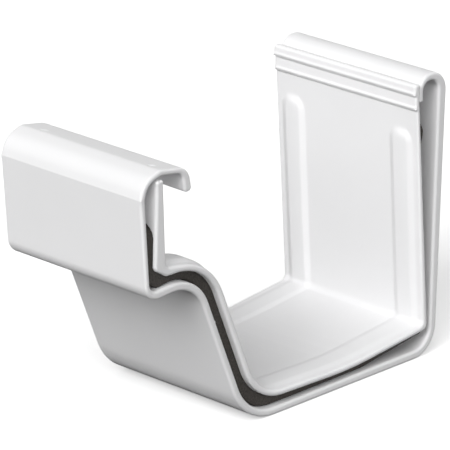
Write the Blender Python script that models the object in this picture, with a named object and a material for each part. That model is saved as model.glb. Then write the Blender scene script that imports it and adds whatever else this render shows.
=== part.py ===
"""A union for K-style rain gutter: an outer shell round an inner liner, with a rubber seal on
the liner near each end. The ends of two gutters slide into the gap between shell and liner.

X runs along the gutter, -Y is the street side with the hook, +Y is the side at the fascia board,
+Z is up. The origin is in the middle of the underside. All sizes are in metres.

A section is drawn as corners (y, z, radius). Every line runs from the hook down the face, along
the floor and up the back, so that the channel always lies on its left.
"""
import bisect
import math

import bmesh
import bpy
from mathutils import Vector
from mathutils.geometry import intersect_line_line_2d

# Overall size; the liner is as long as the whole, the shell ends a little short of it
LENGTH = 0.0638
SHELL_INSET = 0.0004
WIDTH = 0.1400
HEIGHT = 0.0984

# Outer line of the shell
HOOK_REACH = 0.0221
HOOK_LIP_Z = 0.0860
HOOK_LIP_LEAN = 0.0012
HOOK_REAR_Z = 0.0939
HOOK_CROWN_Z = 0.0964
HOOK_CROWN_IN = 0.0104
HOOK_FRONT_Z = 0.0942
CREASE_Z = 0.0872
CREASE_STEP = 0.0017
FACE_LEAN = 0.0025
LEDGE_Z = 0.0534
LEDGE_RISE = 0.0016
LEDGE_REACH = 0.0236
HEEL_REACH = 0.0460
BACK_LEAN = 0.0037
BACK_CORNER_OUT = 0.00027
ROLL_DEPTH = 0.0133
ROLL_LIP_Z = 0.0895

# Corner radii of that line
HOOK_REAR_RADIUS = 0.0055
HOOK_CROWN_RADIUS = 0.0125
HOOK_FRONT_RADIUS = 0.0085
CURL_RADIUS = 0.0056
HILL_RADIUS = 0.0138
HEEL_RADIUS = 0.0205
BACK_RADIUS = 0.0104
ROLL_BACK_RADIUS = 0.0070
ROLL_FRONT_RADIUS = 0.0053

# Walls of the shell
HOOK_LIP_WALL = 0.0028
HOOK_WALL = 0.0021
FACE_WALL = 0.0022
FACE_FOOT_WALL = 0.0017
LEDGE_FOOT_WALL = 0.0031
LEDGE_WALL = 0.0026
FLOOR_WALL = 0.0024
BACK_FOOT_WALL = 0.0030
BACK_TOP_WALL = 0.0038
ROLL_WALL = 0.0026
ROLL_LIP_WALL = 0.0018

# Gap for the gutter, between the shell's inner line and the liner's outer line
SLOT_FRONT = 0.0038
SLOT_FOOT = 0.0017
SLOT_LEDGE = 0.0039
SLOT_SLANT = 0.0042
SLOT_HEEL = 0.0041
SLOT_FLOOR = 0.0029
SLOT_BACK = 0.0013
SLOT_BACK_FLOOR = 0.0064

# Outer line of the liner
LINER_LEDGE = 0.0108
LINER_HILL_FALL = 0.0024
LINER_HILL_RUN = 0.0140
FLOOR_LOW_SHARE = 0.555
BEAD_Z = 0.0961
FOOT_CHAMFER_RISE = 0.0032
FOOT_CHAMFER_RUN = 0.0052
LEDGE_END_RADIUS = 0.0080
LINER_HILL_RADIUS = 0.0195
LINER_HEEL_RADIUS = 0.0188
FLOOR_RADIUS = 0.1500
LINER_BACK_RADIUS = 0.0024

# Walls of the liner
FRONT_TOP_WALL = 0.0029
FRONT_FOOT_WALL = 0.0051
LINER_FOOT_WALL = 0.0038
LINER_HILL_WALL = 0.0025
LINER_SLANT_WALL = 0.0022
LINER_FLOOR_WALL = 0.0020
LINER_BACK_FOOT_WALL = 0.0023
LINER_BACK_TOP_WALL = 0.0014
LEAST_INNER_RADIUS = 0.0022

# Two steps at the top of the liner's back wall, and the bead above them
BEAD_WALL = 0.0026
STEP_DEPTH = 0.0006
STEP_RISE = 0.0008
LOWER_STEP_Z = 0.0867
UPPER_STEP_Z = 0.0917

# Raised bands on the liner's channel side
BAND_INSET = 0.0021
BAND_WIDTH = 0.0110
BAND_HEIGHT = 0.0014
BAND_EDGE = 0.0011
BAND_ROOT = 0.0008
BAND_TOP_FRONT_Z = 0.0800
BAND_TOP_BACK_Z = 0.0820

# Seals behind the bands, and the grooves they sit in
SEAL_INSET = 0.0026
SEAL_WIDTH = 0.0090
SEAL_TOP_FRONT_Z = 0.0780
SEAL_TOP_BACK_Z = 0.0812
SEAL_STAND = 0.0032
SEAL_ROOM = 0.0006
SEAL_BACK_STAND = 0.0016
SEAL_BULGE = 0.0024
SEAL_BULGE_Z = 0.0770
SEAL_BULGE_SPREAD = 0.0055
SEAL_EDGE = 0.0007
SEAL_STEP = 0.0060
GROOVE_DEPTH = 0.0012
GROOVE_REACH = 0.0010
GROOVE_EDGE = 0.0003

# Room between two pieces that meet, and a reach longer than any gap between them
CLEARANCE = 0.0003
LONG_REACH = 0.0200

# Rounded rims and tips
RIM_RADIUS = 0.0005
TIP_RADIUS = 0.0009
HOOK_TIP_RADIUS = 0.0013

# Shallow round marks on top of the hook
MARK_RADIUS = 0.0012
MARK_DEPTH = 0.0003
MARK_RIGHT_INSET = 0.0061
MARK_LEFT_INSET = 0.0091
MARK_REACH = 0.0107

# Fineness of the rounded stretches
ARC_STEP = math.radians(13)
SHARP_ANGLE = math.radians(28)
RIM_SEGMENTS = 2
EDGE_SEGMENTS = 2
END_SEGMENTS = 5
MARK_SIDES = 14
MARK_RINGS = 10
MERGE_DISTANCE = 2e-6

WHITE_VINYL = (0.86, 0.87, 0.87)
BLACK_RUBBER = (0.045, 0.040, 0.036)
VINYL_ROUGHNESS = 0.30
RUBBER_ROUGHNESS = 0.75


def remove_everything():
    for item in list(bpy.data.objects):
        bpy.data.objects.remove(item, do_unlink=True)


def make_material(name, colour, roughness):
    material = bpy.data.materials.new(name)
    material.use_nodes = True
    shader = material.node_tree.nodes["Principled BSDF"]
    shader.inputs["Base Color"].default_value = (*colour, 1.0)
    shader.inputs["Roughness"].default_value = roughness
    shader.inputs["Metallic"].default_value = 0.0
    return material


def meet(a, b, c, d):
    """The point where the line through a and b crosses the line through c and d."""
    ab = (b[0] - a[0], b[1] - a[1])
    cd = (d[0] - c[0], d[1] - c[1])
    cross = ab[0] * cd[1] - ab[1] * cd[0]
    along = ((c[0] - a[0]) * cd[1] - (c[1] - a[1]) * cd[0]) / cross
    return a[0] + ab[0] * along, a[1] + ab[1] * along


def at_height(a, b, z):
    """The point at height z on the line through a and b."""
    along = (z - a[1]) / (b[1] - a[1])
    return a[0] + (b[0] - a[0]) * along, z


def left_normal(a, b):
    length = math.dist(a[:2], b[:2])
    return (a[1] - b[1]) / length, (b[0] - a[0]) / length


def beside(a, b, gap_a, gap_b):
    """The leg from a to b moved to its left, by one gap at its start and another at its end."""
    normal = left_normal(a, b)
    start = (a[0] + normal[0] * gap_a, a[1] + normal[1] * gap_a)
    end = (b[0] + normal[0] * gap_b, b[1] + normal[1] * gap_b)
    return start, end


def turns_left(a, b, c):
    return (b[0] - a[0]) * (c[1] - b[1]) - (b[1] - a[1]) * (c[0] - b[0]) > 0


def inner_radius(corners, index, wall):
    """Radius of a corner that keeps an even wall beside the corner of the outer line."""
    radius = corners[index][2]
    if radius == 0.0:
        return 0.0
    if turns_left(*corners[index - 1:index + 2]):
        return max(radius - wall, LEAST_INNER_RADIUS)
    return radius + wall


def inner_line(corners, walls):
    """Corners of the line on the left of another, with a wall for the start and end of each leg."""
    legs = []
    for a, b, wall in zip(corners, corners[1:], walls):
        legs.append(beside(a, b, *wall))
    line = [(*legs[0][0], 0.0)]
    for index in range(1, len(legs)):
        wall = (walls[index - 1][1] + walls[index][0]) / 2
        point = meet(*legs[index - 1], *legs[index])
        line.append((*point, inner_radius(corners, index, wall)))
    line.append((*legs[-1][1], 0.0))
    return line


def corner_arc(before, corner, after):
    """Points of the round that takes the place of a corner."""
    y, z, radius = corner
    to_before = math.dist(before[:2], corner[:2])
    to_after = math.dist(after[:2], corner[:2])
    a = ((before[0] - y) / to_before, (before[1] - z) / to_before)
    b = ((after[0] - y) / to_after, (after[1] - z) / to_after)
    half = math.acos(max(-1.0, min(1.0, a[0] * b[0] + a[1] * b[1]))) / 2
    tangent = radius / math.tan(half)
    spread = math.hypot(a[0] + b[0], a[1] + b[1])
    to_centre = radius / math.sin(half) / spread
    centre_y = y + (a[0] + b[0]) * to_centre
    centre_z = z + (a[1] + b[1]) * to_centre
    first = math.atan2(z + a[1] * tangent - centre_z, y + a[0] * tangent - centre_y)
    last = math.atan2(z + b[1] * tangent - centre_z, y + b[0] * tangent - centre_y)
    sweep = (last - first + math.pi) % math.tau - math.pi
    steps = max(1, math.ceil(abs(sweep) / ARC_STEP))
    points = []
    for step in range(steps + 1):
        angle = first + sweep * step / steps
        points.append((centre_y + radius * math.cos(angle), centre_z + radius * math.sin(angle)))
    return points


def rounded_line(corners):
    """Points of an open line, with a round at each corner that has a radius."""
    points = [corners[0][:2]]
    for before, corner, after in zip(corners, corners[1:], corners[2:]):
        if corner[2] > 0.0:
            points.extend(corner_arc(before, corner, after))
        else:
            points.append(corner[:2])
    points.append(corners[-1][:2])
    return points


def closed_section(outer, inner, tips):
    """Outline between an outer and an inner line, with the four end corners rounded."""
    outline = [(*outer[0][:2], tips[0]), *outer[1:-1], (*outer[-1][:2], tips[1])]
    outline += [(*inner[-1][:2], tips[2]), *inner[-2:0:-1], (*inner[0][:2], tips[3])]
    return rounded_line([outline[-1], *outline, outline[0]])[1:-1]


def shell_outer_line():
    """From the hook's lip down to the floor and up to the lip of the roll."""
    front = -WIDTH / 2
    back = WIDTH / 2 + BACK_CORNER_OUT
    return [
        (front + HOOK_REACH, HOOK_LIP_Z, 0.0),
        (front + HOOK_REACH - HOOK_LIP_LEAN, HOOK_REAR_Z, HOOK_REAR_RADIUS),
        (front + HOOK_CROWN_IN, HOOK_CROWN_Z, HOOK_CROWN_RADIUS),
        (front + CREASE_STEP, HOOK_FRONT_Z, HOOK_FRONT_RADIUS),
        (front, CREASE_Z, 0.0),
        (front + FACE_LEAN, LEDGE_Z, CURL_RADIUS),
        (front + LEDGE_REACH, LEDGE_Z + LEDGE_RISE, HILL_RADIUS),
        (front + HEEL_REACH, 0.0, HEEL_RADIUS),
        (back - BACK_LEAN, 0.0, BACK_RADIUS),
        (back, HEIGHT, ROLL_BACK_RADIUS),
        (back - ROLL_DEPTH, HEIGHT, ROLL_FRONT_RADIUS),
        (back - ROLL_DEPTH, ROLL_LIP_Z, 0.0),
    ]


def shell_inner_line():
    walls = [
        (HOOK_LIP_WALL, HOOK_LIP_WALL),
        (HOOK_WALL, HOOK_WALL),
        (HOOK_WALL, HOOK_WALL),
        (FACE_WALL, FACE_WALL),
        (FACE_WALL, FACE_FOOT_WALL),
        (LEDGE_FOOT_WALL, LEDGE_WALL),
        (LEDGE_WALL, LEDGE_WALL),
        (FLOOR_WALL, BACK_FOOT_WALL),
        (BACK_FOOT_WALL, BACK_TOP_WALL),
        (ROLL_WALL, ROLL_WALL),
        (ROLL_LIP_WALL, ROLL_LIP_WALL),
    ]
    return inner_line(shell_outer_line(), walls)


def liner_corners():
    """The liner's outer line before its foot is cut off, kept away from the shell by the gap."""
    crown, hook_front, crease, foot, hill, heel, back_foot = shell_inner_line()[2:9]
    front = beside(crease, foot, SLOT_FRONT, SLOT_FOOT)
    slant = beside(hill, heel, SLOT_SLANT, SLOT_SLANT)
    under_hook = beside(crown, hook_front, CLEARANCE, CLEARANCE)
    ledge_z = foot[1] + SLOT_LEDGE
    ledge_start = at_height(*front, ledge_z)
    ledge_end = (ledge_start[0] + LINER_LEDGE, ledge_z)
    hill_way = (ledge_end[0] + LINER_HILL_RUN, ledge_z - LINER_HILL_FALL)
    heel_floor = (heel[0], heel[1] + SLOT_HEEL)
    back_y = back_foot[0] - SLOT_BACK
    floor_low_y = heel[0] + (back_y - heel[0]) * FLOOR_LOW_SHARE
    floor_low = (floor_low_y, FLOOR_WALL + SLOT_FLOOR)
    lip_y = shell_outer_line()[-1][0] - CLEARANCE
    return [
        (*meet(*front, *under_hook), 0.0),
        (*ledge_start, LEAST_INNER_RADIUS),
        (*ledge_end, LEDGE_END_RADIUS),
        (*meet(ledge_end, hill_way, *slant), LINER_HILL_RADIUS),
        (*meet(*slant, heel_floor, floor_low), LINER_HEEL_RADIUS),
        (*floor_low, FLOOR_RADIUS),
        (back_y, back_foot[1] + SLOT_BACK_FLOOR, LINER_BACK_RADIUS),
        (lip_y, ROLL_LIP_Z - CLEARANCE, 0.0),
    ]


def liner_outer_line():
    """The liner's outer line with its foot cut off at a slant, up to the lip of the roll."""
    corners = liner_corners()
    foot = corners[1]
    face = at_height(corners[0], foot, foot[1] + FOOT_CHAMFER_RISE)
    under = (foot[0] + FOOT_CHAMFER_RUN, foot[1])
    radius = LEAST_INNER_RADIUS
    return [corners[0], (*face, radius), (*under, radius), *corners[2:]]


def liner_inner_line():
    """The liner's channel side, from the top of its front wall to the steps at the back."""
    walls = [
        (FRONT_TOP_WALL, FRONT_FOOT_WALL),
        (LINER_FOOT_WALL, LINER_HILL_WALL),
        (LINER_SLANT_WALL, LINER_SLANT_WALL),
        (LINER_FLOOR_WALL, LINER_FLOOR_WALL),
        (LINER_FLOOR_WALL, LINER_FLOOR_WALL),
        (LINER_BACK_FOOT_WALL, LINER_BACK_TOP_WALL),
    ]
    corners = liner_corners()
    line = inner_line(corners[:2] + corners[3:], walls)
    line[-1] = (*at_height(line[-2], line[-1], LOWER_STEP_Z), 0.0)
    return line


def liner_section():
    """Section of the liner, with the two steps and the bead on top of its back wall."""
    outer = liner_outer_line()
    lip_y = outer[-1][0]
    bead_y = lip_y - BEAD_WALL
    strip_y = bead_y + STEP_DEPTH
    outer.append((lip_y, BEAD_Z, 0.0))
    inner = liner_inner_line()
    inner.append((strip_y, LOWER_STEP_Z + STEP_RISE, 0.0))
    inner.append((strip_y, UPPER_STEP_Z, 0.0))
    inner.append((bead_y, UPPER_STEP_Z + STEP_RISE, 0.0))
    inner.append((bead_y, BEAD_Z, 0.0))
    return closed_section(outer, inner, [TIP_RADIUS, TIP_RADIUS, TIP_RADIUS, TIP_RADIUS])


def shell_section():
    tips = [HOOK_TIP_RADIUS, ROLL_LIP_WALL / 3, ROLL_LIP_WALL / 3, HOOK_TIP_RADIUS]
    return closed_section(shell_outer_line(), shell_inner_line(), tips)


def gap_to_shell(y, z, normal_y, normal_z):
    """Room between a point of the liner's outer line and the shell, square to that line."""
    start = Vector((y, z))
    end = start - LONG_REACH * Vector((normal_y, normal_z))
    line = rounded_line(shell_inner_line())
    gap = LONG_REACH
    for a, b in zip(line, line[1:]):
        hit = intersect_line_line_2d(start, end, a, b)
        if hit is not None:
            gap = min(gap, (hit - start).length)
    return gap


def strip_path(corners, front_z, back_z):
    """A rounded line that starts and ends at the given heights of its first and last legs."""
    first = at_height(corners[0], corners[1], front_z)
    last = at_height(corners[-2], corners[-1], back_z)
    return rounded_line([first, *corners[1:-1], last])


def subdivided(points, longest):
    """The same line with more points on its long legs."""
    result = [points[0]]
    for a, b in zip(points, points[1:]):
        pieces = math.ceil(math.dist(a, b) / longest)
        for piece in range(1, pieces + 1):
            share = piece / pieces
            result.append((a[0] + (b[0] - a[0]) * share, a[1] + (b[1] - a[1]) * share))
    return result


def travelled(points):
    """Distance from the start of a line to each of its points."""
    distances = [0.0]
    for a, b in zip(points, points[1:]):
        distances.append(distances[-1] + math.dist(a, b))
    return distances


def mitre_normals(points):
    """At each point, the way to the left that moves both of its legs by the same amount."""
    normals = []
    for a, b in zip(points, points[1:]):
        normals.append(left_normal(a, b))
    mitres = [normals[0]]
    for a, b in zip(normals, normals[1:]):
        scale = 1.0 + a[0] * b[0] + a[1] * b[1]
        mitres.append(((a[0] + b[0]) / scale, (a[1] + b[1]) / scale))
    mitres.append(normals[-1])
    return mitres


def strip_stations(distances, radius, inset):
    """Distance along the path and half width of a strip with half-round ends."""
    reach = radius - inset
    total = distances[-1]
    stations = []
    for step in range(END_SEGMENTS + 1):
        angle = math.pi / 2 * step / END_SEGMENTS
        stations.append((radius - reach * math.cos(angle), reach * math.sin(angle)))
    for distance in distances:
        if radius + MERGE_DISTANCE < distance < total - radius - MERGE_DISTANCE:
            stations.append((distance, reach))
    for along, half in stations[END_SEGMENTS::-1]:
        stations.append((total - along, half))
    return stations


def strip_levels(bottom, top, edge):
    """Insets and heights of the rings of a strip, from its foot over its rounded edge."""
    way = math.copysign(1.0, top - bottom)
    levels = [(0.0, bottom)]
    for step in range(EDGE_SEGMENTS + 1):
        angle = math.pi / 2 * step / EDGE_SEGMENTS
        levels.append((edge * (1 - math.cos(angle)), top - way * edge * (1 - math.sin(angle))))
    return levels


def ring_points(path, middle, radius, inset, height, more_height):
    """Both long sides of one ring of a strip, as two lists of points."""
    distances = travelled(path)
    normals = mitre_normals(path)
    sides = ([], [])
    for along, half in strip_stations(distances, radius, inset):
        leg = min(bisect.bisect_right(distances, along), len(path) - 1)
        share = (along - distances[leg - 1]) / (distances[leg] - distances[leg - 1])
        y = path[leg - 1][0] * (1 - share) + path[leg][0] * share
        z = path[leg - 1][1] * (1 - share) + path[leg][1] * share
        normal_y = normals[leg - 1][0] * (1 - share) + normals[leg][0] * share
        normal_z = normals[leg - 1][1] * (1 - share) + normals[leg][1] * share
        lift = height + more_height(y, z, normal_y, normal_z)
        for side, x in zip(sides, (middle - half, middle + half)):
            side.append((x, y + normal_y * lift, z + normal_z * lift))
    return sides


def no_more_height(y, z, normal_y, normal_z):
    return 0.0


def seal_shape(y, z, normal_y, normal_z):
    """What a seal loses of its full height, so that it stays clear of the shell.

    On the back wall it is thin and ends in a thick bulge.
    """
    stand = SEAL_STAND
    if y > WIDTH / 2 - ROLL_DEPTH:
        rise = (z - SEAL_BULGE_Z) / SEAL_BULGE_SPREAD
        stand = SEAL_BACK_STAND + SEAL_BULGE * math.exp(-rise ** 2)
    room = gap_to_shell(y, z, normal_y, normal_z) - SEAL_ROOM
    return SEAL_STAND - min(stand, room)


def strip_mesh(path, middle, width, bottom, top, edge, more_height=no_more_height):
    """A strip that follows a path, with half-round ends and a rounded edge on its top."""
    bm = bmesh.new()
    rings = []
    for index, (inset, height) in enumerate(strip_levels(bottom, top, edge)):
        more = more_height if index > 0 else no_more_height
        sides = ring_points(path, middle, width / 2, inset, height, more)
        rings.append([[bm.verts.new(point) for point in side] for side in sides])
    count = len(rings[0][0])
    for low, high in zip(rings, rings[1:]):
        for side in (0, 1):
            for index in range(count - 1):
                corners = low[side][index:index + 2] + high[side][index:index + 2][::-1]
                bm.faces.new(corners)
    for ring in (rings[0], rings[-1]):
        for index in range(count - 1):
            bm.faces.new(ring[0][index:index + 2] + ring[1][index:index + 2][::-1])
    bmesh.ops.remove_doubles(bm, verts=bm.verts[:], dist=MERGE_DISTANCE)
    bmesh.ops.recalc_face_normals(bm, faces=bm.faces[:])
    return bm


def extruded_mesh(outline, length):
    """The outline carried along the length of the union, with rounded rims at both ends."""
    bm = bmesh.new()
    face = bm.faces.new([bm.verts.new((-length / 2, y, z)) for y, z in outline])
    result = bmesh.ops.extrude_face_region(bm, geom=[face])
    moved = [item for item in result["geom"] if isinstance(item, bmesh.types.BMVert)]
    bmesh.ops.translate(bm, verts=moved, vec=(length, 0.0, 0.0))
    bmesh.ops.recalc_face_normals(bm, faces=bm.faces[:])
    rims = []
    for edge in bm.edges:
        if abs(edge.verts[0].co.x - edge.verts[1].co.x) < MERGE_DISTANCE:
            rims.append(edge)
    bmesh.ops.bevel(
        bm,
        geom=rims,
        offset=RIM_RADIUS,
        segments=RIM_SEGMENTS,
        profile=0.5,
        affect="EDGES",
        clamp_overlap=True,
    )
    return bm


def mark_mesh(x):
    """A ball that sinks a shallow round mark into the top of the hook."""
    radius = (MARK_RADIUS ** 2 + MARK_DEPTH ** 2) / (2 * MARK_DEPTH)
    y = -WIDTH / 2 + MARK_REACH
    line = rounded_line(shell_outer_line())
    rear, front = next(leg for leg in zip(line, line[1:]) if leg[1][0] <= y <= leg[0][0])
    share = (y - rear[0]) / (front[0] - rear[0])
    z = rear[1] + (front[1] - rear[1]) * share
    bm = bmesh.new()
    bmesh.ops.create_uvsphere(
        bm,
        u_segments=MARK_SIDES,
        v_segments=MARK_RINGS,
        radius=radius,
    )
    bmesh.ops.translate(bm, verts=bm.verts[:], vec=(x, y, z + radius - MARK_DEPTH))
    return bm


def make_object(name, bm):
    mesh = bpy.data.meshes.new(name)
    bm.to_mesh(mesh)
    bm.free()
    thing = bpy.data.objects.new(name, mesh)
    bpy.context.scene.collection.objects.link(thing)
    return thing


def combine(body, bm, operation):
    """Add a mesh to a body or cut it out of the body."""
    other = make_object("tool", bm)
    modifier = body.modifiers.new(operation, "BOOLEAN")
    modifier.operation = operation
    modifier.solver = "EXACT"
    modifier.object = other
    bpy.context.view_layer.update()
    evaluated = body.evaluated_get(bpy.context.evaluated_depsgraph_get())
    mesh = bpy.data.meshes.new_from_object(evaluated)
    body.modifiers.clear()
    body.data = mesh
    bpy.data.objects.remove(other, do_unlink=True)
    merged = bmesh.new()
    merged.from_mesh(mesh)
    bmesh.ops.remove_doubles(merged, verts=merged.verts[:], dist=MERGE_DISTANCE)
    merged.to_mesh(mesh)
    merged.free()


def finish(thing, material):
    mesh = thing.data
    mesh.name = thing.name
    mesh.materials.clear()
    mesh.materials.append(material)
    mesh.shade_smooth()
    mesh.set_sharp_from_angle(angle=SHARP_ANGLE)


def build_shell():
    length = LENGTH - 2 * SHELL_INSET
    shell = make_object("outer_shell", extruded_mesh(shell_section(), length))
    for x in (MARK_LEFT_INSET - length / 2, length / 2 - MARK_RIGHT_INSET):
        combine(shell, mark_mesh(x), "DIFFERENCE")
    return shell


def add_band(liner, side):
    path = strip_path(liner_inner_line(), BAND_TOP_FRONT_Z, BAND_TOP_BACK_Z)
    middle = side * (LENGTH / 2 - BAND_INSET - BAND_WIDTH / 2)
    band = strip_mesh(path, middle, BAND_WIDTH, -BAND_ROOT, BAND_HEIGHT, BAND_EDGE)
    combine(liner, band, "UNION")


def cut_groove(liner, side):
    front_z = SEAL_TOP_FRONT_Z + CLEARANCE
    back_z = SEAL_TOP_BACK_Z + CLEARANCE
    path = strip_path(liner_outer_line(), front_z, back_z)
    middle = side * (LENGTH / 2 - SEAL_INSET - SEAL_WIDTH / 2)
    width = SEAL_WIDTH + 2 * CLEARANCE
    groove = strip_mesh(path, middle, width, -GROOVE_REACH, GROOVE_DEPTH, GROOVE_EDGE)
    combine(liner, groove, "DIFFERENCE")


def build_liner():
    liner = make_object("inner_liner", extruded_mesh(liner_section(), LENGTH))
    for side in (-1, 1):
        add_band(liner, side)
        cut_groove(liner, side)
    return liner


def build_seal(name, side):
    path = strip_path(liner_outer_line(), SEAL_TOP_FRONT_Z, SEAL_TOP_BACK_Z)
    path = subdivided(path, SEAL_STEP)
    middle = side * (LENGTH / 2 - SEAL_INSET - SEAL_WIDTH / 2)
    foot = GROOVE_DEPTH - CLEARANCE
    seal = strip_mesh(path, middle, SEAL_WIDTH, foot, -SEAL_STAND, SEAL_EDGE, seal_shape)
    return make_object(name, seal)


def main():
    remove_everything()
    shell_vinyl = make_material("shell_vinyl", WHITE_VINYL, VINYL_ROUGHNESS)
    liner_vinyl = make_material("liner_vinyl", WHITE_VINYL, VINYL_ROUGHNESS)
    right_rubber = make_material("gasket_right_rubber", BLACK_RUBBER, RUBBER_ROUGHNESS)
    left_rubber = make_material("gasket_left_rubber", BLACK_RUBBER, RUBBER_ROUGHNESS)
    finish(build_shell(), shell_vinyl)
    finish(build_liner(), liner_vinyl)
    finish(build_seal("gasket_right", 1), right_rubber)
    finish(build_seal("gasket_left", -1), left_rubber)


main()
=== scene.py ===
"""Looks of the gutter union: finely rounded vinyl bodies, foam rubber seals, light and camera.

X runs along the gutter, -Y is the street side with the hook, +Y is the side at the fascia board,
+Z is up. Sizes are in millimetres until a mesh is made, which is in metres.

A section is drawn as corners (y, z, radius). Every line runs from the hook down the face, along
the floor and up the back, so that the channel always lies on its left.
"""
import math

import bmesh
import bpy
import numpy as np
from mathutils import Matrix, Vector, noise


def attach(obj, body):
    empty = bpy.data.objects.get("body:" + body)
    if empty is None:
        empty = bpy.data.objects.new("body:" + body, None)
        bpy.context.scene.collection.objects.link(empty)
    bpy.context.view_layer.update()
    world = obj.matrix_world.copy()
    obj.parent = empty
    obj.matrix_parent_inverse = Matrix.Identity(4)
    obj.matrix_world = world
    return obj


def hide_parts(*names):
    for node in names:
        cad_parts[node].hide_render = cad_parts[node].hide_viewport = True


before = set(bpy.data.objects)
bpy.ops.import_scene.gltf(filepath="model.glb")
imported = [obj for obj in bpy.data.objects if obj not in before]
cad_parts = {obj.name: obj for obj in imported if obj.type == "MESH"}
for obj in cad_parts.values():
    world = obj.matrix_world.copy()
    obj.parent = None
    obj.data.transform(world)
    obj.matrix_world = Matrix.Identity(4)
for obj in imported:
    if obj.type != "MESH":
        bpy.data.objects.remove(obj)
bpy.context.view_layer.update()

MM = 0.001

# Length of the liner and of the shorter shell
LINER_LENGTH = 63.8
SHELL_LENGTH = 63.0

SHELL_OUTER = [
    (-47.500, 86.000, 0.0),
    (-49.000, 93.900, 5.8),
    (-61.500, 95.950, 4.0),
    (-68.500, 93.500, 7.5),
    (-70.000, 87.850, 0.0),
    (-67.500, 53.400, 5.6),
    (-46.400, 55.000, 13.8),
    (-24.000, 0.000, 20.5),
    (66.570, 0.000, 10.4),
    (70.270, 98.400, 7.0),
    (56.970, 98.400, 5.3),
    (56.970, 89.500, 0.0),
]
SHELL_INNER = [
    (-50.668, 85.580, 0.0),
    (-51.698, 92.360, 3.05),
    (-61.000, 93.900, 4.0),
    (-66.600, 91.900, 5.5),
    (-67.785, 87.600, 0.0),
    (-65.985, 56.582, 3.2),
    (-44.689, 57.692, 16.4),
    (-22.175, 2.412, 18.0),
    (63.657, 2.981, 7.4),
    (66.392, 95.800, 3.8),
    (58.770, 95.800, 3.1),
    (58.770, 89.500, 0.0),
]
LINER_OUTER = [
    (-63.200, 92.600, 0.0),
    (-64.220, 63.682, 2.2),
    (-59.051, 60.482, 2.2),
    (-53.451, 60.482, 8.0),
    (-40.378, 58.241, 19.5),
    (-19.279, 6.437, 18.8),
    (24.740, 5.300, 150.0),
    (62.357, 9.381, 2.4),
    (56.670, 89.200, 0.0),
    (56.670, 96.100, 0.0),
]
LINER_INNER = [
    (-60.350, 92.600, 0.0),
    (-59.335, 63.587, 2.2),
    (-38.943, 60.551, 21.85),
    (-17.702, 8.397, 16.7),
    (24.658, 7.303, 148.0),
    (59.948, 11.131, 2.2),
    (55.417, 86.700, 0.0),
]
# The strip and the bead that step out above the last corner of LINER_INNER
LINER_STEPS = [
    (54.670, 87.500, 0.35),
    (54.670, 91.700, 0.0),
    (54.070, 92.500, 0.35),
    (54.070, 96.100, 0.0),
]
# Radii of a wall's four end corners: outer start, outer end, inner end, inner start
SHELL_TIPS = [1.45, 0.6, 0.6, 1.45]
LINER_TIPS = [0.9, 0.9, 1.1, 0.9]

# Raised bands on the channel side. They are lower on the floor than on the walls
BAND_INSET = 2.1
BAND_WIDTH = 11.0
BAND_HEIGHT = 1.0
BAND_FLOOR_HEIGHT = 0.5
BAND_FLOOR_Z = 10.0
BAND_EDGE = 3.0
BAND_TOP_FRONT_Z = 80.0
BAND_TOP_BACK_Z = 80.5
BAND_STEPS = 10

# Seals behind the bands
SEAL_INSET = 2.6
SEAL_WIDTH = 9.0
SEAL_TOP_FRONT_Z = 78.0
SEAL_TOP_BACK_Z = 82.4

# How far a seal stands out: on the front walls, along the floor, round the back corner, and up
# the back wall to the bulge at its end. It never comes nearer to the shell than SEAL_ROOM
SEAL_STAND = 4.5
SEAL_ROOM = 0.15
SEAL_FLOOR_STANDS = (3.5, 2.3)
SEAL_FLOOR_ENDS = (25.0, 58.0)
SEAL_CORNER_ENDS = (9.0, 17.0)
SEAL_BACK_STAND = 1.6
SEAL_BACK_Y = 56.7
SEAL_BULGE = 2.6
SEAL_BULGE_Z = 78.3
SEAL_BULGE_SPREAD = 6.0

# Cross-section of a seal, the length of its steps along the liner, and its uneven skin
SEAL_FOOT = 0.9
SEAL_SIDE_SHARE = 0.2
SEAL_EDGE = 0.9
SEAL_EDGE_SHARES = (0.9, 0.6)
SEAL_EDGE_STEPS = 5
SEAL_TOP_STEPS = 8
SEAL_STEP = 0.35
SEAL_TIP = 0.04
SEAL_GRAIN = 0.07
SEAL_GRAIN_SCALE = 0.9

# A seal lies nearer to the end on the front wall and farther from it on the slanted wall
SEAL_DRIFT_FRONT = 0.9
SEAL_DRIFT_SLANT = -0.5
SEAL_DRIFT_PLACES = (16.0, 34.0, 90.0, 110.0)

# Grooves that the seals sit in
GROOVE_DEPTH = 1.2
GROOVE_EDGE = 0.25
GROOVE_STEPS = 5
CLEARANCE = 0.3

# Ribs along the lower edges of the strip and the bead on the liner's back wall
RIB_PLACES = ((54.67, 88.15), (54.07, 93.15))
RIB_HEIGHT = 0.3
RIB_SPREAD = 0.5
RIB_REACH = 2.0

# A burr on the inner edge of the shell's +X rim
BURR_PLACE = (-36.94, 39.6)
BURR_HEIGHT = 0.45
BURR_SPREAD = 0.4
BURR_START = 30.4
BURR_RISE = 0.5
BURR_REACH = 3.0

# Shallow round marks on top of the hook
MARK_RADIUS = 1.5
MARK_DEPTH = 0.35
MARK_PLACES = (-22.0, 25.8)
MARK_Y = -59.7
MARK_REACH = 3.0
MARK_SPREAD = 1.2
MARK_STEPS = 12

# Rims at the ends
RIM_RADIUS = 0.95
RIM_SHARE = 0.85
RIM_STEPS = 7

# Fineness of the meshes. Points lie closer near the places in the front and the back wall
# where bands, seals and grooves end
STRIP_ENDS = ((-62.0, 76.5), (56.5, 77.0))
STRIP_REACH = 8.0
FINE_STEP = 0.12
STRIP_STEP = 3 * FINE_STEP
ARC_STEP = math.radians(3.5)
LONGEST_LEG = 2.5
SHELL_RING_STEP = 8.0
LINER_RING_STEP = 3.0
SUPPORT = 0.1
SHARP_ANGLE = math.radians(30)
CLOSE = 0.002
ON_LINE = 5 * CLOSE
LONG_REACH = 20.0
PARALLEL = 1e-9

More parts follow.
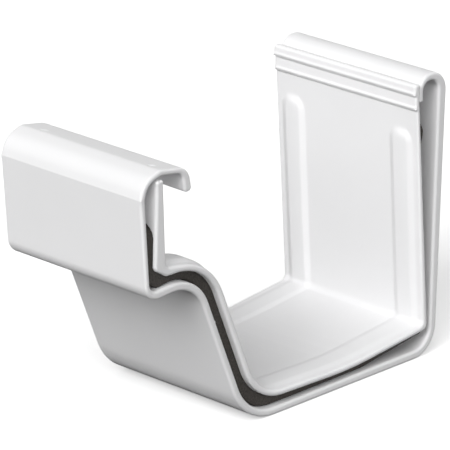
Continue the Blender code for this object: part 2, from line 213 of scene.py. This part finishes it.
# White vinyl: base colour and roughness of each body, noise scales per metre, and bumps as
# strength and distance in metres
SHELL_SHADE = (0.878, 0.877, 0.883)
SHELL_DULL = 0.31
LINER_SHADE = (0.900, 0.899, 0.905)
LINER_DULL = 0.30
CLOUD_SCALE = 30.0
CLOUD_DEEP = 0.985
CLOUD_LIGHT = 1.006
SMEAR_SCALE = 60.0
SMEAR_GLOSSIER = 0.02
SMEAR_DULLER = 0.03
NOISE_SPAN = (0.3, 0.7)
WAVE_SCALE = 28.0
WAVE_BUMP = (0.10, 0.0004)
SKIN_SCALE = 260.0
SKIN_BUMP = (0.10, 0.00001)
SPECULAR_FACING = 0.2
SPECULAR_SPAN = (0.35, 0.85)
VINYL_IOR = 1.5

# Black foam rubber, with the same units
RUBBER_DARK = (0.030, 0.027, 0.024)
RUBBER_DUSTY = (0.085, 0.076, 0.068)
RUBBER_DULL = (0.62, 0.88)
RUBBER_SPECULAR = 0.3
GRAIN_SCALE = 1500.0
GRAIN_DETAIL = 4.0
GRAIN_ROUGHNESS = 0.7
GRAIN_BUMP = (0.5, 0.0002)
DUST_SPAN = (0.35, 0.75)
PORE_SCALE = 1900.0
PORE_BUMP = (0.55, 0.00025)

# Floor and world. What the part sees of them is dim, and what the camera sees is white
WHITE = (1.0, 1.0, 1.0)
FLOOR_REACH = 6.0
FLOOR_DROP = 0.00002
FLOOR_DULL = 0.9
FLOOR_GLOW = 0.35
FLOOR_BOUNCE = (0.05, 0.05, 0.05)
WORLD_STRENGTH = 0.17

# Name, azimuth and elevation in degrees, angle of the soft disc, strength
LAMPS = [
    ("key_lamp", 28.0, 43.0, 35.0, 1.55),
    ("front_lamp", 4.0, 28.0, 35.0, 1.22),
    ("side_lamp", 65.0, 19.0, 35.0, 0.88),
    ("back_lamp", 180.0, 10.0, 45.0, 0.95),
]

# Camera of the photograph, which is 450 pixels wide and high. Lengths are in metres, and the
# sensor's width is in millimetres
AZIMUTH = math.radians(44.52)
ELEVATION = math.radians(20.03)
DISTANCE = 1.4064
FOCAL_PIXELS = 4291.317
FRAME_PIXELS = 450
OFFSET_RIGHT = 0.000899
OFFSET_UP = -0.050838
SENSOR_WIDTH = 36.0
CLIP_END = 20.0


def corner_round(before, corner, after):
    """Centre of the round in a corner, and the points where it starts and ends."""
    point = Vector(corner[:2])
    a = (Vector(before[:2]) - point).normalized()
    b = (Vector(after[:2]) - point).normalized()
    half = a.angle(b) / 2
    centre = point + (a + b).normalized() * corner[2] / math.sin(half)
    tangent = corner[2] / math.tan(half)
    return centre, point + a * tangent, point + b * tangent


def corner_arc(before, corner, after):
    """Points of the round that takes the place of a corner."""
    centre, start, end = corner_round(before, corner, after)
    first = math.atan2(start.y - centre.y, start.x - centre.x)
    last = math.atan2(end.y - centre.y, end.x - centre.x)
    sweep = (last - first + math.pi) % math.tau - math.pi
    steps = max(2, math.ceil(abs(sweep) / ARC_STEP))
    points = []
    for step in range(steps + 1):
        angle = first + sweep * step / steps
        way = Vector((math.cos(angle), math.sin(angle)))
        points.append(centre + way * corner[2])
    return points


def rounded_line(corners):
    """Points of an open line, with a round at each corner that has a radius."""
    points = [Vector(corners[0][:2])]
    for before, corner, after in zip(corners, corners[1:], corners[2:]):
        if corner[2] > 0.0:
            points.extend(corner_arc(before, corner, after))
        else:
            points.append(Vector(corner[:2]))
    points.append(Vector(corners[-1][:2]))
    return points


def supported(points):
    """The same line with points close to the ends of its long legs, and more between them."""
    result = [points[0]]
    for a, b in zip(points, points[1:]):
        length = (b - a).length
        if length > 4 * SUPPORT:
            result.append(a.lerp(b, SUPPORT / length))
            pieces = math.ceil(length / LONGEST_LEG)
            for piece in range(1, pieces):
                result.append(a.lerp(b, piece / pieces))
            result.append(a.lerp(b, 1 - SUPPORT / length))
        result.append(b)
    return result


def closed_section(outer, inner, tips):
    """Points round a wall between an outer and an inner line, with its four end corners round."""
    outline = [(*outer[0][:2], tips[0]), *outer[1:-1], (*outer[-1][:2], tips[1])]
    outline += [(*inner[-1][:2], tips[2]), *inner[-2:0:-1], (*inner[0][:2], tips[3])]
    points = rounded_line([outline[-1], *outline, outline[0]])[1:-1]
    points = supported([*points, points[0]])[:-1]
    kept = [points[0]]
    for point in points[1:]:
        if (point - kept[-1]).length > CLOSE:
            kept.append(point)
    return kept


def at_height(a, b, z):
    """The place at height z on the line through two places."""
    along = (z - a[1]) / (b[1] - a[1])
    return a[0] + (b[0] - a[0]) * along, z


def strip_path(corners, front_z, back_z):
    """A rounded line that starts and ends at the given heights of its first and last legs."""
    first = at_height(corners[0], corners[1], front_z)
    last = at_height(corners[-2], corners[-1], back_z)
    return rounded_line([first, *corners[1:-1], last])


def nearest(path, point):
    """How far along a path the place nearest to a point is, how far off it the point is, and
    how long the path is."""
    best = (0.0, LONG_REACH)
    travelled = 0.0
    for a, b in zip(path, path[1:]):
        leg = b - a
        share = max(0.0, min(1.0, (point - a).dot(leg) / leg.length_squared))
        off = (point - a - leg * share).length
        if off < best[1]:
            best = (travelled + leg.length * share, off)
        travelled += leg.length
    return (*best, travelled)


def smooth(share):
    """An even rise from 0 to 1 that starts and ends level."""
    share = max(0.0, min(1.0, share))
    return share * share * (3.0 - 2.0 * share)


def bell(distance, spread):
    """1 at no distance, falling softly to 0."""
    return math.exp(-(distance / spread) ** 2)


def left_of(way):
    """A way turned by a quarter to the left."""
    return Vector((-way.y, way.x))


def closed_normals(points):
    """At each point of a closed line, the way to the left that moves both legs by one unit."""
    normals = []
    for index, point in enumerate(points):
        a = left_of((point - points[index - 1]).normalized())
        b = left_of((points[(index + 1) % len(points)] - point).normalized())
        normals.append((a + b) / (1.0 + a.dot(b)))
    return normals


def open_normals(points):
    """The same for an open line, whose ends have one leg each."""
    ways = [left_of((b - a).normalized()) for a, b in zip(points, points[1:])]
    normals = [ways[0]]
    for a, b in zip(ways, ways[1:]):
        normals.append((a + b) / (1.0 + a.dot(b)))
    return [*normals, ways[-1]]


def subdivided(points, longest):
    """The same open line with no leg longer than a length."""
    result = [points[0]]
    for a, b in zip(points, points[1:]):
        pieces = math.ceil((b - a).length / longest)
        for piece in range(1, pieces + 1):
            result.append(a.lerp(b, piece / pieces))
    return result


def strip_depth(place, path_length, x, middle, radius):
    """How far a point lies inside the outline of a strip with half-round ends."""
    start = radius - place
    end = place - (path_length - radius)
    return radius - math.hypot(x - middle, max(0.0, start, end))


def rim_radii(points, normals):
    """At each point, the radius of the largest disc that fits inside the wall, up to a limit
    that makes a rim of RIM_RADIUS."""
    fine = subdivided([*points, points[0]], RIM_RADIUS / 3)
    near = np.array([tuple(point) for point in points])
    far = np.array([tuple(point) for point in fine])
    radii = []
    for point, normal in zip(points, normals):
        inward = np.array(normal.normalized())
        least = RIM_RADIUS / RIM_SHARE
        for others, shortest in ((near, CLOSE), (far, RIM_RADIUS)):
            ways = others - np.array(point)
            reach = (ways ** 2).sum(axis=1)
            depth = ways @ inward
            seen = (depth > CLOSE ** 2) & (reach > shortest ** 2)
            if seen.any():
                least = min(least, (reach[seen] / depth[seen]).min() / 2)
        radii.append(float(least))
    return radii


def stations_between(length, finer, longest):
    """Places along +X of the rings between the middle and the rim."""
    limit = length / 2 - RIM_RADIUS - 2 * SUPPORT
    inner = sorted({x for x in finer if x < limit} | {0.0})
    places = [inner[0]]
    for a, b in zip(inner, [*inner[1:], limit]):
        pieces = max(1, math.ceil((b - a) / longest))
        for piece in range(1, pieces + 1):
            places.append(a + (b - a) * piece / pieces)
    return places


def loft_rings(points, normals, length, places, lift):
    """Rings of points from end to end, the last ones rolled over into a full round rim."""
    discs = rim_radii(points, normals)
    halves = [[(x, 0.0)] * len(points) for x in places]
    halves.append([(length / 2 - disc * RIM_SHARE - SUPPORT, 0.0) for disc in discs])
    rims = [disc * RIM_SHARE for disc in discs]
    for step in range(RIM_STEPS + 1):
        angle = math.pi / 2 * step / RIM_STEPS
        out, back = 1 - math.sin(angle), 1 - math.cos(angle)
        halves.append([(length / 2 - rim * out, rim * back) for rim in rims])
    flat = (1 + RIM_SHARE) / 2
    halves.append([(length / 2, disc * flat) for disc in discs])
    mirrored = [[(-x, inset) for x, inset in half] for half in halves[:0:-1]]
    rings = []
    for half in mirrored + halves:
        ring = []
        for index, (x, inset) in enumerate(half):
            place = points[index] + normals[index] * (inset - lift(index, x))
            ring.append(Vector((x, *place)) * MM)
        rings.append(ring)
    return rings


def loft(points, length, places, lift):
    """The section carried from end to end. Lift says how much each point stands out."""
    normals = closed_normals(points)
    bm = bmesh.new()
    rings = []
    for ring in loft_rings(points, normals, length, places, lift):
        rings.append([bm.verts.new(place) for place in ring])
    count = len(points)
    for a, b in zip(rings, rings[1:]):
        for index in range(count):
            after = (index + 1) % count
            bm.faces.new((a[index], a[after], b[after], b[index]))
    bm.faces.new(rings[0][::-1])
    bm.faces.new(rings[-1])
    bmesh.ops.recalc_face_normals(bm, faces=bm.faces[:])
    return bm


def make_object(name, bm):
    """An object in the scene with the mesh that was built."""
    mesh = bpy.data.meshes.new(name)
    bm.to_mesh(mesh)
    bm.free()
    thing = bpy.data.objects.new(name, mesh)
    bpy.context.scene.collection.objects.link(thing)
    return thing


def finer_near(points, spots, reach, step):
    """The same closed line with short legs near some spots."""
    result = []
    for a, b in zip(points, [*points[1:], points[0]]):
        result.append(a)
        middle = (a + b) / 2
        if min((middle - Vector(spot)).length for spot in spots) < reach:
            pieces = math.ceil((b - a).length / step)
            for piece in range(1, pieces):
                result.append(a.lerp(b, piece / pieces))
    return result


def build_shell():
    """The outer body, with the marks on its hook and the burr on its rim."""
    line = rounded_line(SHELL_OUTER)
    rear, front = next(leg for leg in zip(line, line[1:]) if leg[1].x <= MARK_Y <= leg[0].x)
    mark = rear.lerp(front, (rear.x - MARK_Y) / (rear.x - front.x))
    points = closed_section(SHELL_OUTER, SHELL_INNER, SHELL_TIPS)
    points = finer_near(points, [BURR_PLACE], BURR_REACH, FINE_STEP)
    points = finer_near(points, [mark], MARK_REACH, FINE_STEP)
    finer = []
    for x in MARK_PLACES:
        for step in range(-MARK_STEPS, MARK_STEPS + 1):
            finer.append(abs(x) + MARK_SPREAD * MARK_RADIUS * step / MARK_STEPS)
    places = stations_between(SHELL_LENGTH, finer, SHELL_RING_STEP)

    def lift(index, x):
        away = (points[index] - Vector(BURR_PLACE)).length
        burr = BURR_HEIGHT * bell(away, BURR_SPREAD) * smooth((x - BURR_START) / BURR_RISE)
        across = (points[index] - mark).length
        dents = [1 - (across ** 2 + (x - place) ** 2) / MARK_RADIUS ** 2 for place in MARK_PLACES]
        return burr - MARK_DEPTH * max(0.0, *dents)

    return make_object("shell_body", loft(points, SHELL_LENGTH, places, lift))


def seal_drift(place):
    """How much nearer to its end a seal lies, at a distance along its path."""
    first, second, third, fourth = SEAL_DRIFT_PLACES
    to_slant = smooth((place - first) / (second - first))
    to_floor = smooth((place - third) / (fourth - third))
    drift = SEAL_DRIFT_FRONT + (SEAL_DRIFT_SLANT - SEAL_DRIFT_FRONT) * to_slant
    return drift * (1 - to_floor)


def liner_lift(points):
    """A function that says how much a point of the liner stands out, for bands and grooves."""
    channel = strip_path(LINER_INNER, BAND_TOP_FRONT_Z, BAND_TOP_BACK_Z)
    outside = strip_path(
        LINER_OUTER[:-1],
        SEAL_TOP_FRONT_Z + CLEARANCE,
        SEAL_TOP_BACK_Z + CLEARANCE,
    )
    in_channel = [nearest(channel, point) for point in points]
    in_slot = [nearest(outside, point) for point in points]
    walls = [smooth((point.y - BAND_FLOOR_Z) / BAND_FLOOR_Z) for point in points]
    ribs = []
    for point in points:
        near = [(point - Vector(rib)).length for rib in RIB_PLACES]
        ribs.append(sum(RIB_HEIGHT * bell(away, RIB_SPREAD) for away in near))
    band_middle = LINER_LENGTH / 2 - BAND_INSET - BAND_WIDTH / 2
    seal_middle = LINER_LENGTH / 2 - SEAL_INSET - SEAL_WIDTH / 2

    def lift(index, x):
        place, off, length = in_channel[index]
        if off < ON_LINE:
            depth = strip_depth(place, length, abs(x), band_middle, BAND_WIDTH / 2)
            height = BAND_FLOOR_HEIGHT + (BAND_HEIGHT - BAND_FLOOR_HEIGHT) * walls[index]
            return height * smooth(depth / BAND_EDGE)
        place, off, length = in_slot[index]
        if off < ON_LINE:
            radius = SEAL_WIDTH / 2 + CLEARANCE
            middle = seal_middle + seal_drift(place)
            depth = strip_depth(place, length, abs(x), middle, radius)
            return -GROOVE_DEPTH * smooth(depth / GROOVE_EDGE)
        return ribs[index]

    return lift


def build_liner():
    """The inner body, with its bands, grooves and ribs."""
    points = closed_section(LINER_OUTER, [*LINER_INNER, *LINER_STEPS], LINER_TIPS)
    points = finer_near(points, RIB_PLACES, RIB_REACH, FINE_STEP)
    points = finer_near(points, STRIP_ENDS, STRIP_REACH, STRIP_STEP)
    finer = []
    band_end = LINER_LENGTH / 2 - BAND_INSET
    for step in range(BAND_STEPS + 1):
        edge = step / BAND_STEPS * BAND_EDGE
        finer.append(band_end - edge)
        finer.append(band_end - BAND_WIDTH + edge)
    groove_end = LINER_LENGTH / 2 - SEAL_INSET + CLEARANCE
    for step in range(-GROOVE_STEPS, GROOVE_STEPS + 1):
        finer.append(groove_end + step * GROOVE_EDGE)
        finer.append(groove_end - SEAL_WIDTH - 2 * CLEARANCE + step * GROOVE_EDGE)
    places = stations_between(LINER_LENGTH, finer, LINER_RING_STEP)
    return make_object("liner_body", loft(points, LINER_LENGTH, places, liner_lift(points)))


def room_to_shell(point, normal, shell_line):
    """Room between a point of the liner's outer line and the shell, square to that line."""
    room = LONG_REACH
    for a, b in zip(shell_line, shell_line[1:]):
        leg = b - a
        cross = normal.x * leg.y - normal.y * leg.x
        if abs(cross) < PARALLEL:
            continue
        to_a = a - point
        along = (to_a.x * leg.y - to_a.y * leg.x) / cross
        share = (to_a.x * normal.y - to_a.y * normal.x) / cross
        if along > 0.0 and 0.0 <= share <= 1.0:
            room = min(room, along)
    return room


def seal_stand(point, normal, shell_line):
    """Height of a seal over the liner. It thins out along the floor and ends in a bulge."""
    stand = SEAL_STAND
    start, end = SEAL_FLOOR_ENDS
    if point.x > start:
        thick, thin = SEAL_FLOOR_STANDS
        stand = thick + (thin - thick) * min(1.0, (point.x - start) / (end - start))
    if point.x > SEAL_BACK_Y:
        low, high = SEAL_CORNER_ENDS
        stand += (SEAL_BACK_STAND - stand) * smooth((point.y - low) / (high - low))
        stand += SEAL_BULGE * bell(point.y - SEAL_BULGE_Z, SEAL_BULGE_SPREAD)
    return min(stand, room_to_shell(point, normal, shell_line) - SEAL_ROOM)


def build_seal(name, side):
    """A strip of foam rubber round the liner, with half-round ends and an uneven skin."""
    path = strip_path(LINER_OUTER[:-1], SEAL_TOP_FRONT_Z, SEAL_TOP_BACK_Z)
    path = subdivided(path, SEAL_STEP)
    normals = open_normals(path)
    shell_line = rounded_line(SHELL_INNER)
    middle = side * (LINER_LENGTH / 2 - SEAL_INSET - SEAL_WIDTH / 2)
    radius = SEAL_WIDTH / 2
    length = sum((b - a).length for a, b in zip(path, path[1:]))
    bm = bmesh.new()
    rings = []
    travelled = 0.0
    for index, point in enumerate(path):
        if index > 0:
            travelled += (point - path[index - 1]).length
        short = max(0.0, radius - travelled, travelled - (length - radius))
        half = math.sqrt(max(SEAL_TIP, radius ** 2 - short ** 2))
        stand = seal_stand(point, -normals[index], shell_line)
        shifted = middle + side * seal_drift(travelled)
        rings.append(seal_ring(bm, point, normals[index], shifted, half, stand))
    count = len(rings[0])
    for a, b in zip(rings, rings[1:]):
        for index in range(count):
            after = (index + 1) % count
            bm.faces.new((a[index], a[after], b[after], b[index]))
    bm.faces.new(rings[0][::-1])
    bm.faces.new(rings[-1])
    bmesh.ops.recalc_face_normals(bm, faces=bm.faces[:])
    return make_object(name, bm)


def seal_ring(bm, point, normal, middle, half, stand):
    """One cross-section of a seal: a flat foot, upright sides, round shoulders, an uneven top."""
    of_half, of_stand = SEAL_EDGE_SHARES
    edge = min(SEAL_EDGE, half * of_half, stand * of_stand)
    flat = half - edge
    outline = [(-half, -SEAL_FOOT), (-half, stand * SEAL_SIDE_SHARE)]
    for step in range(SEAL_EDGE_STEPS + 1):
        angle = math.pi / 2 * step / SEAL_EDGE_STEPS
        x = -half + edge * (1 - math.cos(angle))
        outline.append((x, stand - edge * (1 - math.sin(angle))))
    side = outline[::-1]
    for step in range(1, SEAL_TOP_STEPS):
        outline.append((-flat + 2 * flat * step / SEAL_TOP_STEPS, stand))
    outline += [(-x, height) for x, height in side]
    ring = []
    for x, height in outline:
        place = Vector((middle + x, *(point - normal * height)))
        if height > 0.0:
            grain = noise.noise(place / SEAL_GRAIN_SCALE) * SEAL_GRAIN
            place = place + Vector((0.0, *(-normal * (grain - SEAL_GRAIN))))
        ring.append(bm.verts.new(place * MM))
    return ring


class Nodes:
    """Adds nodes to the tree of a material or the world, and links them."""

    def __init__(self, owner):
        self.tree = owner.node_tree

    def add(self, kind, **settings):
        node = self.tree.nodes.new(kind)
        for key, value in settings.items():
            setattr(node, key, value)
        return node

    def link(self, start, end):
        self.tree.links.new(start, end)

    def noise(self, place, scale, detail=0.0, roughness=0.5):
        node = self.add("ShaderNodeTexNoise")
        node.inputs["Scale"].default_value = scale
        node.inputs["Detail"].default_value = detail
        node.inputs["Roughness"].default_value = roughness
        self.link(place, node.inputs["Vector"])
        return node.outputs["Fac"]

    def mapped(self, value, low, high, start=0.0, end=1.0):
        node = self.add("ShaderNodeMapRange")
        node.inputs["From Min"].default_value = start
        node.inputs["From Max"].default_value = end
        node.inputs["To Min"].default_value = low
        node.inputs["To Max"].default_value = high
        self.link(value, node.inputs["Value"])
        return node.outputs["Result"]

    def mixed(self, share, first, second):
        node = self.add("ShaderNodeMix", data_type="RGBA")
        node.inputs["A"].default_value = (*first, 1.0)
        node.inputs["B"].default_value = (*second, 1.0)
        self.link(share, node.inputs["Factor"])
        return node.outputs["Result"]

    def bump(self, height, strength, distance, normal=None):
        node = self.add("ShaderNodeBump")
        node.inputs["Strength"].default_value = strength
        node.inputs["Distance"].default_value = distance
        self.link(height, node.inputs["Height"])
        if normal is not None:
            self.link(normal, node.inputs["Normal"])
        return node.outputs["Normal"]


def new_material(name):
    """A material, what adds nodes to it, and its shader."""
    material = bpy.data.materials.new(name)
    material.use_nodes = True
    return material, Nodes(material), material.node_tree.nodes["Principled BSDF"]


def vinyl(name, shade, dull):
    """Glossy moulded white vinyl: faint cloudiness, slow waves from cooling and a fine skin. Its
    gloss fades where it is seen at a slant, so that edges don't turn into mirrors."""
    material, nodes, shader = new_material(name)
    place = nodes.add("ShaderNodeTexCoord").outputs["Object"]
    clouds = nodes.noise(place, CLOUD_SCALE, 2.0)
    deep = tuple(part * CLOUD_DEEP for part in shade)
    light = tuple(part * CLOUD_LIGHT for part in shade)
    colour = nodes.mixed(nodes.mapped(clouds, 0.0, 1.0, *NOISE_SPAN), deep, light)
    nodes.link(colour, shader.inputs["Base Color"])
    smears = nodes.noise(place, SMEAR_SCALE, 2.0)
    gloss = nodes.mapped(smears, dull - SMEAR_GLOSSIER, dull + SMEAR_DULLER, *NOISE_SPAN)
    nodes.link(gloss, shader.inputs["Roughness"])
    waves = nodes.bump(nodes.noise(place, WAVE_SCALE), *WAVE_BUMP)
    skin = nodes.bump(nodes.noise(place, SKIN_SCALE), *SKIN_BUMP, waves)
    nodes.link(skin, shader.inputs["Normal"])
    edge = nodes.add("ShaderNodeLayerWeight").outputs["Facing"]
    specular = nodes.mapped(edge, SPECULAR_FACING, 0.0, *SPECULAR_SPAN)
    nodes.link(specular, shader.inputs["Specular IOR Level"])
    shader.inputs["IOR"].default_value = VINYL_IOR
    return material


def rubber(name):
    """Black foam rubber: open pores, dull skin, a trace of warm grey dust."""
    material, nodes, shader = new_material(name)
    place = nodes.add("ShaderNodeTexCoord").outputs["Object"]
    grain = nodes.noise(place, GRAIN_SCALE, GRAIN_DETAIL, GRAIN_ROUGHNESS)
    pores = nodes.add("ShaderNodeTexVoronoi")
    pores.inputs["Scale"].default_value = PORE_SCALE
    nodes.link(place, pores.inputs["Vector"])
    dust = nodes.mapped(grain, 0.0, 1.0, *DUST_SPAN)
    nodes.link(nodes.mixed(dust, RUBBER_DARK, RUBBER_DUSTY), shader.inputs["Base Color"])
    nodes.link(nodes.mapped(grain, *RUBBER_DULL), shader.inputs["Roughness"])
    hollows = nodes.bump(pores.outputs["Distance"], *PORE_BUMP)
    skin = nodes.bump(grain, *GRAIN_BUMP, hollows)
    nodes.link(skin, shader.inputs["Normal"])
    shader.inputs["Specular IOR Level"].default_value = RUBBER_SPECULAR
    return material


def dress(piece, node, material):
    """Gives a piece its material, and puts it in the place of a CAD node."""
    piece.data.materials.clear()
    piece.data.materials.append(material)
    piece.data.shade_smooth()
    piece.data.set_sharp_from_angle(angle=SHARP_ANGLE)
    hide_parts(node)
    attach(piece, "root")


def seen_or_mirrored(nodes):
    """One where the camera looks straight at a surface, sees it in gloss or through glass."""
    path = nodes.add("ShaderNodeLightPath")
    first = nodes.add("ShaderNodeMath", operation="MAXIMUM")
    nodes.link(path.outputs["Is Camera Ray"], first.inputs[0])
    nodes.link(path.outputs["Is Glossy Ray"], first.inputs[1])
    second = nodes.add("ShaderNodeMath", operation="MAXIMUM")
    nodes.link(first.outputs["Value"], second.inputs[0])
    nodes.link(path.outputs["Is Transmission Ray"], second.inputs[1])
    return second.outputs["Value"]


def build_floor():
    """A pale floor that shows as white, with the soft shadow of the part on it."""
    bm = bmesh.new()
    reach = FLOOR_REACH
    corners = [(-reach, -reach), (reach, -reach), (reach, reach), (-reach, reach)]
    bm.faces.new([bm.verts.new((x, y, -FLOOR_DROP)) for x, y in corners])
    floor = make_object("floor", bm)
    material, nodes, shader = new_material("floor_paper")
    shader.inputs["Roughness"].default_value = FLOOR_DULL
    shader.inputs["Specular IOR Level"].default_value = 0.0
    share = seen_or_mirrored(nodes)
    nodes.link(nodes.mixed(share, FLOOR_BOUNCE, WHITE), shader.inputs["Base Color"])
    shader.inputs["Emission Color"].default_value = (*WHITE, 1.0)
    glow = nodes.mapped(share, 0.0, FLOOR_GLOW)
    nodes.link(glow, shader.inputs["Emission Strength"])
    floor.data.materials.append(material)


def build_world():
    """A dim even light on the part, which the camera and mirrored rays see as white."""
    world = bpy.data.worlds.new("studio")
    bpy.context.scene.world = world
    world.use_nodes = True
    nodes = Nodes(world)
    background = world.node_tree.nodes["Background"]
    background.inputs["Color"].default_value = (*WHITE, 1.0)
    strength = nodes.mapped(seen_or_mirrored(nodes), WORLD_STRENGTH, 1.0)
    nodes.link(strength, background.inputs["Strength"])


def way_from(azimuth, elevation):
    """Unit vector towards a place round the object: azimuth 0 is at -Y, 90 is at +X."""
    return Vector((
        math.sin(azimuth) * math.cos(elevation),
        -math.cos(azimuth) * math.cos(elevation),
        math.sin(elevation),
    ))


def build_lamps():
    """Soft suns, which light the part the same wherever it stands."""
    for name, azimuth, elevation, spread, strength in LAMPS:
        light = bpy.data.lights.new(name, "SUN")
        light.energy = strength
        light.angle = math.radians(spread)
        lamp = bpy.data.objects.new(name, light)
        way = way_from(math.radians(azimuth), math.radians(elevation))
        lamp.rotation_euler = way.to_track_quat("Z", "Y").to_euler()
        bpy.context.scene.collection.objects.link(lamp)


def build_camera():
    """The photograph's camera, moved sideways and up or down in its own plane."""
    back = way_from(AZIMUTH, ELEVATION)
    right = Vector((math.cos(AZIMUTH), math.sin(AZIMUTH), 0.0))
    up = back.cross(right)
    camera = bpy.data.cameras.new("camera")
    camera.sensor_width = SENSOR_WIDTH
    camera.lens = FOCAL_PIXELS / FRAME_PIXELS * SENSOR_WIDTH
    camera.clip_end = CLIP_END
    thing = bpy.data.objects.new("camera", camera)
    pose = Matrix((right, up, back)).transposed().to_4x4()
    pose.translation = back * DISTANCE - right * OFFSET_RIGHT - up * OFFSET_UP
    thing.matrix_world = pose
    bpy.context.scene.collection.objects.link(thing)
    bpy.context.scene.camera = thing


build_camera()
shell_look = vinyl("shell_vinyl_look", SHELL_SHADE, SHELL_DULL)
liner_look = vinyl("liner_vinyl_look", LINER_SHADE, LINER_DULL)
dress(build_shell(), "outer_shell", shell_look)
dress(build_liner(), "inner_liner", liner_look)
for name, side in (("right", 1), ("left", -1)):
    seal = build_seal("seal_" + name, side)
    look = rubber("rubber_look_" + name)
    dress(seal, "gasket_" + name, look)
build_floor()
build_world()
build_lamps()
bpy.context.scene.view_settings.view_transform = "Standard"
